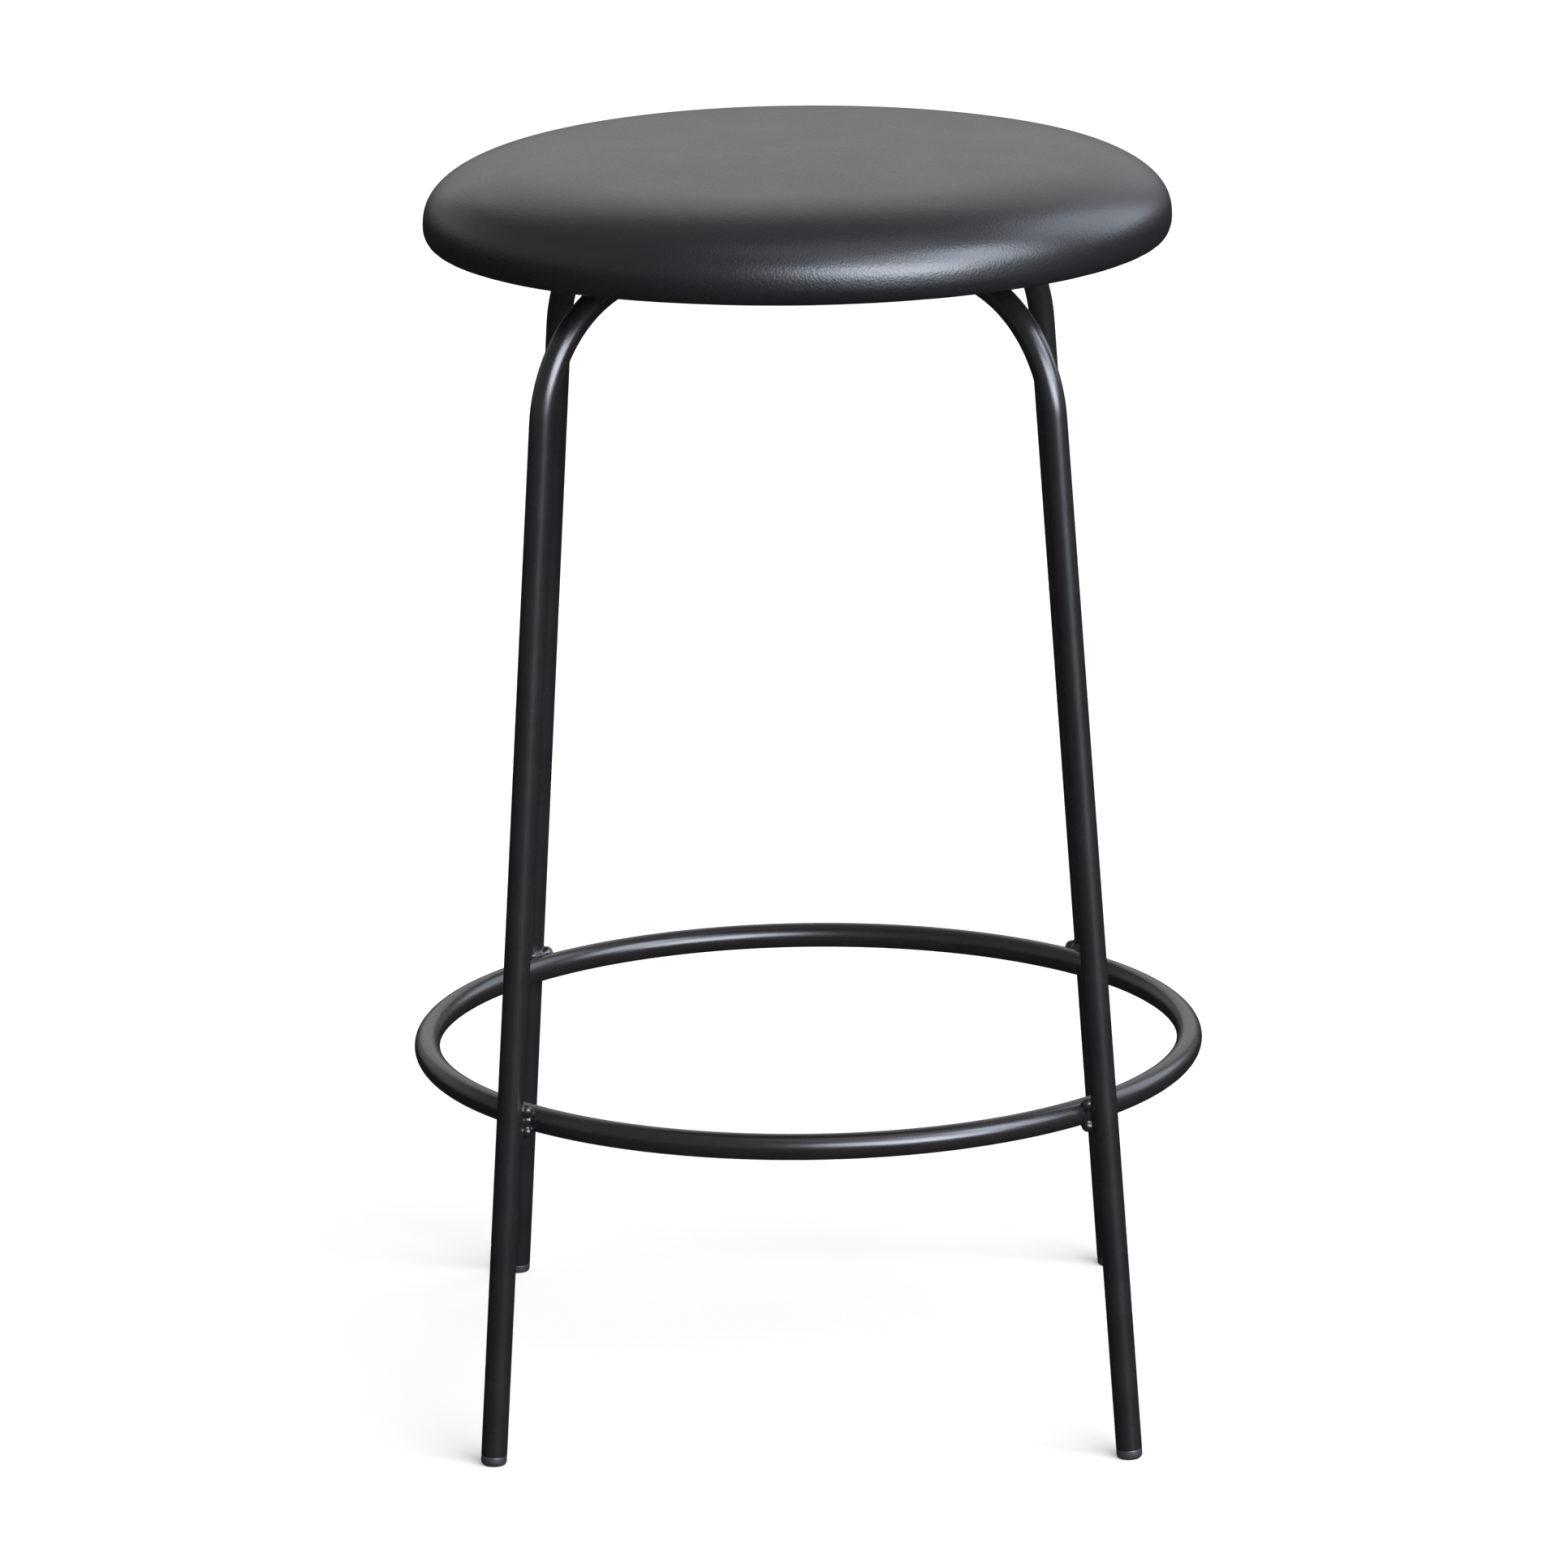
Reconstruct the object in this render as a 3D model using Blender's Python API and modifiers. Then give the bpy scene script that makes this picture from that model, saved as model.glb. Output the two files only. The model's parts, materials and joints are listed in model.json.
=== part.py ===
"""A bar stool: a round padded seat on a welded frame of bent steel tube, with a footrest ring.

Metres, +Z up. The origin is on the floor under the middle of the seat, and the front is towards -Y.
The four legs stand on the diagonals. Two of them are the ends of one bent tube, the leg loop, and
the other two are L-bent tubes welded to its middle.
"""

import math

import bmesh
import bpy
from mathutils import Matrix, Vector

GAP = 0.0003  # between pieces that touch

# Frame tube
TUBE_R = 0.0065
TUBE_WALL = 0.0015
TUBE_SIDES = 12
RUN_Z = 0.5860  # axis of the flat runs under the seat
RUN_TOP = RUN_Z + TUBE_R

# Legs, in their own upright plane: how far the axis is from the middle, and how high
FOOT_OUT = 0.2242  # at the floor
LEG_SLOPE = 0.09192  # inwards for each metre up
BEND_R = 0.071
BEND_STEPS = 9
TUBE_END_UP = 0.0050  # tube's end above the floor, along the leg
CORNERS = {
    # corner: the direction of its leg from the middle
    "front_left": math.radians(225),
    "front_right": math.radians(315),
    "rear_right": math.radians(45),
    "rear_left": math.radians(135),
}

# Footrest ring
RING_R = 0.1948
RING_Z = 0.1742
RING_SEGMENTS = 56
VENT_R = 0.0020  # drain hole under the ring, at the back
WELD_HALF = (0.0050, 0.0098, 0.0096)  # footrest weld: out, along the ring, up
MIDDLE_BEAD_UP = 0.0022  # bead's height over the tubes where the flat runs meet
MIDDLE_BEAD_OUT = 0.0140
GROUND_BELOW = 0.0002  # the bead is ground this far below the tubes' top
CUT_REACH = 0.03  # half the length of a cutter that clears a weld

# Mounting tabs under the seat, one beside each run
TAB_OUT = 0.078  # screw's distance along the run
TAB_SIDE = 0.018  # screw's distance beside the run
TAB_LENGTH = 0.026
TAB_THICK = 0.0030
TAB_EDGE_SIDE = 0.0068
TAB_FAR_SIDE = 0.030
TAB_CHAMFER = 0.0008
TAB_WELD_HALF = (0.0110, 0.0032, 0.0030)
TAB_WELD_SIDE = 0.0072
TAB_WELD_DOWN = 0.0012
SCREW_HOLE_R = 0.0035

# Screws and tee nuts
SCREW_R = 0.0030
SCREW_HEAD_R = 0.0060
SCREW_HEAD_H = 0.0032
SCREW_LENGTH = 0.0140
HEX_R = 0.0023
HEX_DEPTH = 0.0018
NUT_BARREL_R = 0.0041
NUT_FLANGE_R = 0.0090
NUT_FLANGE_H = 0.0014
NUT_LENGTH = 0.0095

# Seat, from the dust cover upwards
DUST_THICK = 0.0005
DUST_R = 0.158
DUST_STEP_R = 0.142  # the dust cover steps down here, over the hem
DUST_STEP = 0.0015
BASE_BOTTOM = RUN_TOP + GAP + DUST_THICK + GAP
BASE_THICK = 0.012
BASE_R = 0.1800
COVER_THICK = 0.0012
HEM_R = 0.145
SEAT_R = 0.1870
SEAT_WIDEST_Z = 0.5992
SEAT_BOTTOM_Z = 0.5900
SEAT_TOP_Z = 0.6370
SHOULDER_IN = 0.0644
SHOULDER_UP = 0.0295
SHOULDER_POWER = 2.5
LOW_IN = 0.0060  # the outline turns in by this below its widest
HEM_START_R = 0.1770
HEM_FLAT_R = 0.1700  # the hem lies flat from here inwards
SEAT_STEPS = 40

# End glides
GLIDE_HEAD_UP = TUBE_END_UP - GAP
GLIDE_STEM_R = TUBE_R - TUBE_WALL - GAP
GLIDE_STEM_UP = 0.020
GLIDE_ROUND_IN = 0.0024
GLIDE_ROUND_FROM = 0.0024  # height where the head starts to round off
GLIDE_BELOW = 0.0006  # uncut head's depth below the floor

PARTS = "bar_stool"
CUTTERS = "cutters"
COLOURS = {
    # name: (base colour, roughness, metallic)
    "powder_coat": ((0.017, 0.017, 0.019, 1), 0.40, 0.0),
    "zinc_steel": ((0.62, 0.61, 0.58, 1), 0.35, 1.0),
    "leather": ((0.019, 0.019, 0.021, 1), 0.42, 0.0),
    "plywood": ((0.60, 0.43, 0.26, 1), 0.70, 0.0),
    "foam": ((0.78, 0.73, 0.58, 1), 0.95, 0.0),
    "dust_cloth": ((0.030, 0.030, 0.032, 1), 0.95, 0.0),
    "glide_plastic": ((0.020, 0.020, 0.021, 1), 0.50, 0.0),
}


# Scene and objects


def clear_scene():
    for obj in list(bpy.data.objects):
        bpy.data.objects.remove(obj, do_unlink=True)


def collection(name):
    made = bpy.data.collections.new(name)
    bpy.context.scene.collection.children.link(made)
    return made


def material(name, of_piece):
    colour, roughness, metallic = COLOURS[name]
    made = bpy.data.materials.new(of_piece)
    made.use_nodes = True
    made.diffuse_color = colour
    shader = made.node_tree.nodes["Principled BSDF"]
    shader.inputs["Base Color"].default_value = colour
    shader.inputs["Roughness"].default_value = roughness
    shader.inputs["Metallic"].default_value = metallic
    return made


def put(name, mesh, colour=None):
    """An object for a mesh: a part if it has a colour, and otherwise a cutter."""
    obj = bpy.data.objects.new(name, mesh)
    bpy.data.collections[PARTS if colour else CUTTERS].objects.link(obj)
    if colour:
        mesh.materials.append(material(colour, name))
        mesh.shade_smooth()
        mesh.set_sharp_from_angle(angle=math.radians(35))
    else:
        obj.hide_render = True
        obj.display_type = "WIRE"
    return obj


def finished(bm, name):
    bmesh.ops.recalc_face_normals(bm, faces=bm.faces)
    mesh = bpy.data.meshes.new(name)
    bm.to_mesh(mesh)
    bm.free()
    return mesh


def boolean(obj, other, operation="DIFFERENCE"):
    made = obj.modifiers.new(f"{operation.lower()}_{other.name}", "BOOLEAN")
    made.operation = operation
    made.solver = "EXACT"
    made.object = other


# Shapes


def cylinder(radius, start, end, sides=24, around=False):
    """A cylinder between two points. With around, its flats, and not its corners, are at the radius."""
    axis = Vector(end) - Vector(start)
    if around:
        radius /= math.cos(math.pi / sides)
    turn = axis.to_track_quat("Z", "Y").to_matrix().to_4x4()
    place = Matrix.Translation((Vector(start) + Vector(end)) / 2) @ turn
    bm = bmesh.new()
    bmesh.ops.create_cone(
        bm,
        cap_ends=True,
        segments=sides,
        radius1=radius,
        radius2=radius,
        depth=axis.length,
        matrix=place,
    )
    return bm


def upright(spot, radius, low, high, sides=16):
    """A mesh of a vertical cylinder from one height to another, its flats at the radius."""
    lift = Vector((0, 0, 1))
    return finished(cylinder(radius, spot + lift * low, spot + lift * high, sides, around=True), "upright")


def box(low, high, place):
    size = Vector(high) - Vector(low)
    middle = (Vector(low) + Vector(high)) / 2
    bm = bmesh.new()
    whole = place @ Matrix.Translation(middle) @ Matrix.Diagonal((*size, 1))
    bmesh.ops.create_cube(bm, size=1, matrix=whole)
    return bm


def ellipsoid(half, place, across=16, down=10):
    bm = bmesh.new()
    bmesh.ops.create_uvsphere(
        bm, u_segments=across, v_segments=down, radius=1, matrix=place @ Matrix.Diagonal((*half, 1))
    )
    return bm


def tube(name, points, colour):
    """An open-ended hollow tube along the points of its axis."""
    curve = bpy.data.curves.new(name, "CURVE")
    curve.dimensions = "3D"
    curve.bevel_depth = TUBE_R
    curve.bevel_resolution = (TUBE_SIDES - 4) // 2
    spline = curve.splines.new("POLY")
    spline.points.add(len(points) - 1)
    for spot, point in zip(spline.points, points):
        spot.co = (*point, 1)
    guide = bpy.data.objects.new(name + "_axis", curve)
    bpy.data.collections[CUTTERS].objects.link(guide)
    graph = bpy.context.evaluated_depsgraph_get()
    mesh = bpy.data.meshes.new_from_object(guide.evaluated_get(graph))
    bpy.data.objects.remove(guide)
    bm = bmesh.new()
    bm.from_mesh(mesh)
    bmesh.ops.remove_doubles(bm, verts=bm.verts, dist=1e-6)
    obj = put(name, finished(bm, name), colour)
    wall(obj, TUBE_WALL)
    return obj


def wall(obj, thickness):
    solid = obj.modifiers.new("wall", "SOLIDIFY")
    solid.thickness = thickness
    solid.offset = -1
    solid.use_even_offset = True


def turned(name, profile, steps, colour):
    """A profile of (radius, height) points, listed top to bottom down its outer side, turned about Z."""
    mesh = bpy.data.meshes.new(name)
    points = [(r, 0, z) for r, z in profile]
    mesh.from_pydata(points, [(i, i + 1) for i in range(len(points) - 1)], [])
    obj = put(name, mesh, colour)
    screw = obj.modifiers.new("turn", "SCREW")
    screw.steps = steps
    screw.render_steps = steps
    screw.use_merge_vertices = True
    screw.merge_threshold = 1e-5
    return obj


# Places on the frame


def along(angle, out, z, side=0.0):
    """A point in a leg's upright plane, or beside it, to the left of the way outwards."""
    outward = Vector((math.cos(angle), math.sin(angle), 0))
    sideways = Vector((-math.sin(angle), math.cos(angle), 0))
    return outward * out + sideways * side + Vector((0, 0, z))


def leg_place(angle, out, z):
    """A frame at a point of a leg's plane: X outwards, Y beside, Z up."""
    return Matrix.Translation(along(angle, out, z)) @ Matrix.Rotation(angle, 4, "Z")


def screw_spot(angle):
    """The seat screw's axis, beside a run."""
    return along(angle, TAB_OUT, 0, TAB_SIDE)


def leg_out(z):
    return FOOT_OUT - LEG_SLOPE * z


def leg_points(angle):
    """The axis of a leg from its foot to the inner end of its bend."""
    lean = math.atan(LEG_SLOPE)
    start_z = RUN_Z - BEND_R * (1 - math.sin(lean))
    centre_out = leg_out(start_z) - BEND_R * math.cos(lean)
    foot_z = TUBE_END_UP * math.cos(lean)
    points = [along(angle, leg_out(foot_z), foot_z)]
    for step in range(BEND_STEPS + 1):
        turn = lean + (math.pi / 2 - lean) * step / BEND_STEPS
        points.append(
            along(angle, centre_out + BEND_R * math.cos(turn), RUN_Z - BEND_R + BEND_R * math.sin(turn))
        )
    return points


# Frame


def leg_loop():
    """The through tube: the front left and rear right legs in one."""
    first = leg_points(CORNERS["front_left"])
    second = leg_points(CORNERS["rear_right"])
    tube("leg_loop", first + second[::-1], "powder_coat")


def leg_angled(name, angle):
    """An L-bent leg, its inner end cut to saddle onto the loop's middle."""
    points = leg_points(angle) + [along(angle, 0.001, RUN_Z)]
    leg = tube(name, points, "powder_coat")
    ends = (along(angle, 0, RUN_Z, -CUT_REACH), along(angle, 0, RUN_Z, CUT_REACH))
    saddle = finished(cylinder(TUBE_R + GAP, *ends, 24, around=True), "saddle")
    boolean(leg, put(name + "_saddle", saddle))


def middle_weld(name, angle):
    """The bead round an L-bent leg's inner end, ground flush with the top of the tubes."""
    bead_r = TUBE_R + MIDDLE_BEAD_UP
    whole = cylinder(bead_r, along(angle, GAP, RUN_Z), along(angle, MIDDLE_BEAD_OUT, RUN_Z), 24)
    bead = put(name, finished(whole, name), "powder_coat")
    ends = (along(angle, 0, RUN_Z, -CUT_REACH), along(angle, 0, RUN_Z, CUT_REACH))
    own_ends = (along(angle, -CUT_REACH, RUN_Z), along(angle, CUT_REACH, RUN_Z))
    boolean(bead, put(name + "_limit", finished(cylinder(bead_r, *ends, 24), "limit")), "INTERSECT")
    loop_room = finished(cylinder(TUBE_R + GAP, *ends, 24, around=True), "loop_room")
    boolean(bead, put(name + "_loop_room", loop_room))
    leg_room = finished(cylinder(TUBE_R + GAP, *own_ends, 24, around=True), "leg_room")
    boolean(bead, put(name + "_leg_room", leg_room))
    ground = leg_place(angle, 0, RUN_TOP - GROUND_BELOW)
    above = box((-CUT_REACH, -CUT_REACH, 0), (CUT_REACH, CUT_REACH, CUT_REACH), ground)
    boolean(bead, put(name + "_above", finished(above, "above")))


def footrest_ring():
    bpy.ops.mesh.primitive_torus_add(
        major_radius=RING_R,
        minor_radius=TUBE_R,
        major_segments=RING_SEGMENTS,
        minor_segments=TUBE_SIDES,
        location=(0, 0, 0),
    )
    made = bpy.context.object
    mesh = made.data
    bpy.data.objects.remove(made)
    mesh.name = "footrest_ring"
    mesh.transform(Matrix.Translation((0, 0, RING_Z)))
    ring = put("footrest_ring", mesh, "powder_coat")
    wall(ring, TUBE_WALL)
    vent = cylinder(VENT_R, (0, RING_R, RING_Z - 0.012), (0, RING_R, RING_Z - 0.003), 12)
    boolean(ring, put("ring_vent", finished(vent, "ring_vent")))


def footrest_weld(name, angle):
    """The fillet all round the spot where the ring touches a leg."""
    touch = (RING_R + leg_out(RING_Z)) / 2
    weld = put(name, finished(ellipsoid(WELD_HALF, leg_place(angle, touch, RING_Z)), name), "powder_coat")
    low, high = RING_Z - CUT_REACH, RING_Z + CUT_REACH
    leg_ends = (along(angle, leg_out(low), low), along(angle, leg_out(high), high))
    leg_room = finished(cylinder(TUBE_R + GAP, *leg_ends, 18, around=True), "leg_room")
    boolean(weld, put(name + "_leg_room", leg_room))
    ring_ends = (along(angle, RING_R, RING_Z, -CUT_REACH), along(angle, RING_R, RING_Z, CUT_REACH))
    ring_room = finished(cylinder(TUBE_R + GAP, *ring_ends, 18, around=True), "ring_room")
    boolean(weld, put(name + "_ring_room", ring_room))


def mounting_tab(name, angle):
    half = TAB_LENGTH / 2
    place = leg_place(angle, TAB_OUT, RUN_TOP - TAB_THICK)
    tab = put(
        name,
        finished(box((-half, TAB_EDGE_SIDE, 0), (half, TAB_FAR_SIDE, TAB_THICK), place), name),
        "powder_coat",
    )
    corners = tab.modifiers.new("corners", "BEVEL")
    corners.width = TAB_CHAMFER
    corners.segments = 1
    corners.limit_method = "ANGLE"
    hole = upright(screw_spot(angle), SCREW_HOLE_R, RUN_TOP - 0.01, RUN_TOP + 0.01)
    boolean(tab, put(name + "_hole", hole))


def tab_weld(name, angle):
    """The bead under a tab, in the corner between it and the tube."""
    under_tab = leg_place(angle, TAB_OUT, RUN_TOP - TAB_THICK - TAB_WELD_DOWN)
    spot = under_tab @ Matrix.Translation((0, TAB_WELD_SIDE, 0))
    weld = put(name, finished(ellipsoid(TAB_WELD_HALF, spot, 14, 10), name), "powder_coat")
    ends = (along(angle, TAB_OUT - CUT_REACH, RUN_Z), along(angle, TAB_OUT + CUT_REACH, RUN_Z))
    room = finished(cylinder(TUBE_R + GAP, *ends, 24, around=True), "tube_room")
    boolean(weld, put(name + "_tube_room", room))
    under = leg_place(angle, TAB_OUT, RUN_TOP - TAB_THICK - GAP)
    above = box((-CUT_REACH, -CUT_REACH, 0), (CUT_REACH, CUT_REACH, CUT_REACH), under)
    boolean(weld, put(name + "_tab_room", finished(above, "tab_room")))


# Fasteners


def seat_screw(name, angle):
    """A button-head socket screw, its head under the tab."""
    head_top = RUN_TOP - TAB_THICK - GAP
    head_low = head_top - SCREW_HEAD_H
    profile = [
        (0, head_top + SCREW_LENGTH),
        (SCREW_R * 0.75, head_top + SCREW_LENGTH),
        (SCREW_R, head_top + SCREW_LENGTH - 0.0008),
        (SCREW_R, head_top),
        (SCREW_HEAD_R, head_top),
    ]
    for step in range(4):
        turn = math.pi / 2 * (step + 0.5) / 4
        profile.append(
            (
                HEX_R * 1.2 + (SCREW_HEAD_R - HEX_R * 1.2) * math.cos(turn),
                head_top - SCREW_HEAD_H * math.sin(turn),
            )
        )
    profile += [(HEX_R * 1.2, head_low), (0, head_low)]
    screw = turned(name, profile, 12, "zinc_steel")
    spot = screw_spot(angle)
    screw.location = spot
    socket = upright(spot, HEX_R, head_low - 0.002, head_low + HEX_DEPTH, 6)
    boolean(screw, put(name + "_socket", socket))


def tee_nut(name, angle):
    top = BASE_BOTTOM + BASE_THICK - 0.0001
    bore = SCREW_R + GAP
    profile = [
        (bore, top),
        (NUT_FLANGE_R, top),
        (NUT_FLANGE_R, top - NUT_FLANGE_H),
        (NUT_BARREL_R, top - NUT_FLANGE_H),
        (NUT_BARREL_R, top - NUT_LENGTH),
        (bore, top - NUT_LENGTH),
        (bore, top),
    ]
    nut = turned(name, profile, 12, "zinc_steel")
    nut.location = screw_spot(angle)


# Seat


def shoulder_height(r):
    """The seat's top surface: a rounded shoulder with a low crown over all of it."""
    inner = SEAT_R - SHOULDER_IN
    share = max(0.0, (r - inner) / SHOULDER_IN)
    round_off = max(0.0, 1 - share**SHOULDER_POWER) ** (1 / SHOULDER_POWER)
    crown = SEAT_TOP_Z - SEAT_WIDEST_Z - SHOULDER_UP
    return SEAT_WIDEST_Z + SHOULDER_UP * round_off + crown * (1 - (r / SEAT_R) ** 2)


def seat_outline():
    """The cover's outer profile from the middle of the top to its widest point and round to its lowest."""
    points = [(r, shoulder_height(r)) for r in (SEAT_R * s for s in (0, 0.3, 0.55))]
    shoulder = 6
    for step in range(shoulder + 1):
        turn = math.pi / 2 * step / shoulder
        share = math.sin(turn) ** (2 / SHOULDER_POWER)
        r = SEAT_R - SHOULDER_IN * (1 - share)
        points.append((r, shoulder_height(r)))
    low = 3
    down_by = SEAT_WIDEST_Z - SEAT_BOTTOM_Z
    for step in range(1, low + 1):
        turn = math.pi / 2 * step / low
        points.append((SEAT_R - LOW_IN * (1 - math.cos(turn)), SEAT_WIDEST_Z - down_by * math.sin(turn)))
    return points


def inset(points, by):
    """The profile moved inwards by a distance, square to itself."""
    moved = []
    for i, (r, z) in enumerate(points):
        before = points[max(i - 1, 0)]
        after = points[min(i + 1, len(points) - 1)]
        run = Vector((after[0] - before[0], after[1] - before[1])).normalized()
        if i == 0:
            run = Vector((1, 0))
        moved.append((max(0.0, r + run.y * by), z - run.x * by))
    return moved


def seat_cover():
    """The upholstery skin, from the crown over the edge to the hem under the base."""
    hem_z = BASE_BOTTOM - GAP - COVER_THICK
    profile = seat_outline() + [(HEM_START_R, hem_z - GAP), (HEM_FLAT_R, hem_z), (HEM_R, hem_z)]
    cover = turned("seat_cover", profile, SEAT_STEPS, "leather")
    wall(cover, COVER_THICK)
    cover.modifiers["wall"].use_even_offset = False


def foam_pad():
    """A domed pad with a thin skirt down round the edge of the base."""
    outline = inset(seat_outline(), COVER_THICK + 3 * GAP)
    skirt_end = SEAT_WIDEST_Z - 0.0010
    outer = [point for point in outline if point[1] > skirt_end]
    inner_r = BASE_R + GAP
    under = BASE_BOTTOM + BASE_THICK + GAP
    profile = outer + [(outer[-1][0], skirt_end), (inner_r, skirt_end), (inner_r, under), (0, under)]
    turned("foam_pad", profile, SEAT_STEPS, "foam")


def seat_base():
    """The plywood disc, drilled and counterbored from above for the tee nuts."""
    top = BASE_BOTTOM + BASE_THICK
    edge = 0.001
    profile = [(0, top), (BASE_R - edge, top), (BASE_R, top - edge)]
    profile += [(BASE_R, BASE_BOTTOM + edge), (BASE_R - edge, BASE_BOTTOM), (0, BASE_BOTTOM)]
    base = turned("seat_base", profile, SEAT_STEPS, "plywood")
    for corner, angle in CORNERS.items():
        spot = screw_spot(angle)
        drill = upright(spot, NUT_BARREL_R + GAP, BASE_BOTTOM - 0.01, top + 0.01)
        boolean(base, put(f"base_drill_{corner}", drill))
        sink = upright(spot, NUT_FLANGE_R + GAP, top - NUT_FLANGE_H - 2 * GAP, top + 0.01)
        boolean(base, put(f"base_sink_{corner}", sink))


def dust_cover():
    """A thin disc, flat against the base and stepped down over the hem."""
    top = RUN_TOP + GAP + DUST_THICK
    low = top - DUST_STEP
    profile = [(0, top), (DUST_STEP_R - 0.005, top), (DUST_STEP_R, low), (DUST_R, low)]
    profile += [(r, z - DUST_THICK) for r, z in reversed(profile)]
    cover = turned("dust_cover", profile, SEAT_STEPS, "dust_cloth")
    for corner, angle in CORNERS.items():
        hole = upright(screw_spot(angle), SCREW_HOLE_R, top - 0.01, top + 0.01)
        boolean(cover, put(f"dust_hole_{corner}", hole))


# Feet


def glide(name, angle):
    """A plastic plug in a leg's end, its head rounded and cut flat where it meets the floor."""
    profile = [
        (0, GLIDE_STEM_UP),
        (GLIDE_STEM_R - 0.0008, GLIDE_STEM_UP),
        (GLIDE_STEM_R, GLIDE_STEM_UP - 0.002),
        (GLIDE_STEM_R, GLIDE_HEAD_UP),
        (TUBE_R, GLIDE_HEAD_UP),
    ]
    for step in range(5):
        turn = math.pi / 2 * step / 4
        drop = (GLIDE_ROUND_FROM + GLIDE_BELOW) * math.sin(turn)
        profile.append((TUBE_R - GLIDE_ROUND_IN * (1 - math.cos(turn)), GLIDE_ROUND_FROM - drop))
    profile.append((0, -GLIDE_BELOW))
    plug = turned(name, profile, 16, "glide_plastic")
    tilt = Matrix.Rotation(-math.atan(LEG_SLOPE), 4, "Y")
    plug.matrix_world = leg_place(angle, FOOT_OUT, 0) @ tilt
    floor = box((-0.02, -0.02, -0.02), (0.02, 0.02, 0), leg_place(angle, FOOT_OUT, 0))
    boolean(plug, put(name + "_floor", finished(floor, "floor")))


def main():
    clear_scene()
    collection(PARTS)
    collection(CUTTERS)
    leg_loop()
    footrest_ring()
    for corner in ("front_right", "rear_left"):
        leg_angled(f"leg_{corner}", CORNERS[corner])
        middle_weld(f"middle_weld_{corner}", CORNERS[corner])
    for corner, angle in CORNERS.items():
        footrest_weld(f"footrest_weld_{corner}", angle)
        mounting_tab(f"mounting_tab_{corner}", angle)
        tab_weld(f"tab_weld_{corner}", angle)
        seat_screw(f"seat_screw_{corner}", angle)
        tee_nut(f"tee_nut_{corner}", angle)
        glide(f"glide_{corner}", angle)
    dust_cover()
    seat_base()
    foam_pad()
    seat_cover()


main()
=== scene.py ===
"""The looks of a bar stool: a black leather seat on a powder-coated frame of bent tube.

Everything is in metres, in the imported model's frame: +Z up, the origin on the floor under the
middle of the seat, the front towards -Y. The tubes, welds, glides and upholstery are modelled here
at a finer scale than in the frame, and each stands for its node there.
"""

import json
import math
import random

import bmesh
import bpy
from mathutils import Matrix, Vector, noise


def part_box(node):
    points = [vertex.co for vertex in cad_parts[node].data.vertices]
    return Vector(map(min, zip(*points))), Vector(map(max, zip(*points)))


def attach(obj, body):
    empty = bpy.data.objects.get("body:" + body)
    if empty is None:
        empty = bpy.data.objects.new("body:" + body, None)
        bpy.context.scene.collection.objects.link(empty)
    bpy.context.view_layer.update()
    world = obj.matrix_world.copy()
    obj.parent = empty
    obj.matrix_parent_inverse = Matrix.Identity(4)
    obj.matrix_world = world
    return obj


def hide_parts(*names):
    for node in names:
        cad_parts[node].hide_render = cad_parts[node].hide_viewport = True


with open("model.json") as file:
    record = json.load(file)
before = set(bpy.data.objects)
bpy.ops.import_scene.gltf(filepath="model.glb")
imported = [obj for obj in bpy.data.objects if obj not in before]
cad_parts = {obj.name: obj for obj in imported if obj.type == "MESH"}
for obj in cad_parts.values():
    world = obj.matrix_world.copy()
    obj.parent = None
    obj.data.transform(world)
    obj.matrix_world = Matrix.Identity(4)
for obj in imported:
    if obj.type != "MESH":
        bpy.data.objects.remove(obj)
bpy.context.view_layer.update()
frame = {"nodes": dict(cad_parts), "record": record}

MM = 0.001
CORNERS = {
    # corner: the direction of its leg from the middle
    "front_left": math.radians(225),
    "front_right": math.radians(315),
    "rear_right": math.radians(45),
    "rear_left": math.radians(135),
}

# The frame's own sizes, read from its nodes
ring_low, ring_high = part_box("footrest_ring")
TUBE_R = (ring_high.z - ring_low.z) / 2
RING_Z = (ring_high.z + ring_low.z) / 2
RING_R = ring_high.x - TUBE_R
RUN_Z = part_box("leg_loop")[1].z - TUBE_R
FOOT_OUT = Vector(frame["record"]["mounts"][0]["pos_m"]).to_2d().length
LEG_SLOPE = 0.09192  # inwards for each metre up
BEND_R = 0.071
TUBE_END_UP = 0.0050
TUBE_WALL = 0.0015

# Seat
seat_low, seat_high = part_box("seat_cover")
base_low, base_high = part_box("seat_base")
SEAT_R = seat_high.x
SEAT_WIDEST_Z = 0.5992
SHOULDER_IN = 0.0644
SHOULDER_UP = 0.0295
SHOULDER_POWER = 2.5
LOW_IN = 0.0060
HEM_R = 0.145
HEM_FLAT_R = 0.170
HEM_Z = base_low.z - 1.5 * MM
LEATHER_THICK = 1.2 * MM
GATHERS = 46
SEAT_STEPS = 240  # points round the seat
PUCKER_HALF = 0.012  # radians
PUCKERS = (
    # on the edge of the seat: direction, lowest and highest point above the seat's bottom, depth
    (math.radians(-17.4), 3.0 * MM, 13.0 * MM, 0.42 * MM),
    (math.radians(-19.0), 2.0 * MM, 10.0 * MM, 0.30 * MM),
    (math.radians(-15.2), 2.0 * MM, 7.5 * MM, 0.22 * MM),
)
MOST_TRAVEL = 0.6 * MM  # of the cover in the cloth simulation
FOAM_GAP = 0.9 * MM

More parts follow.
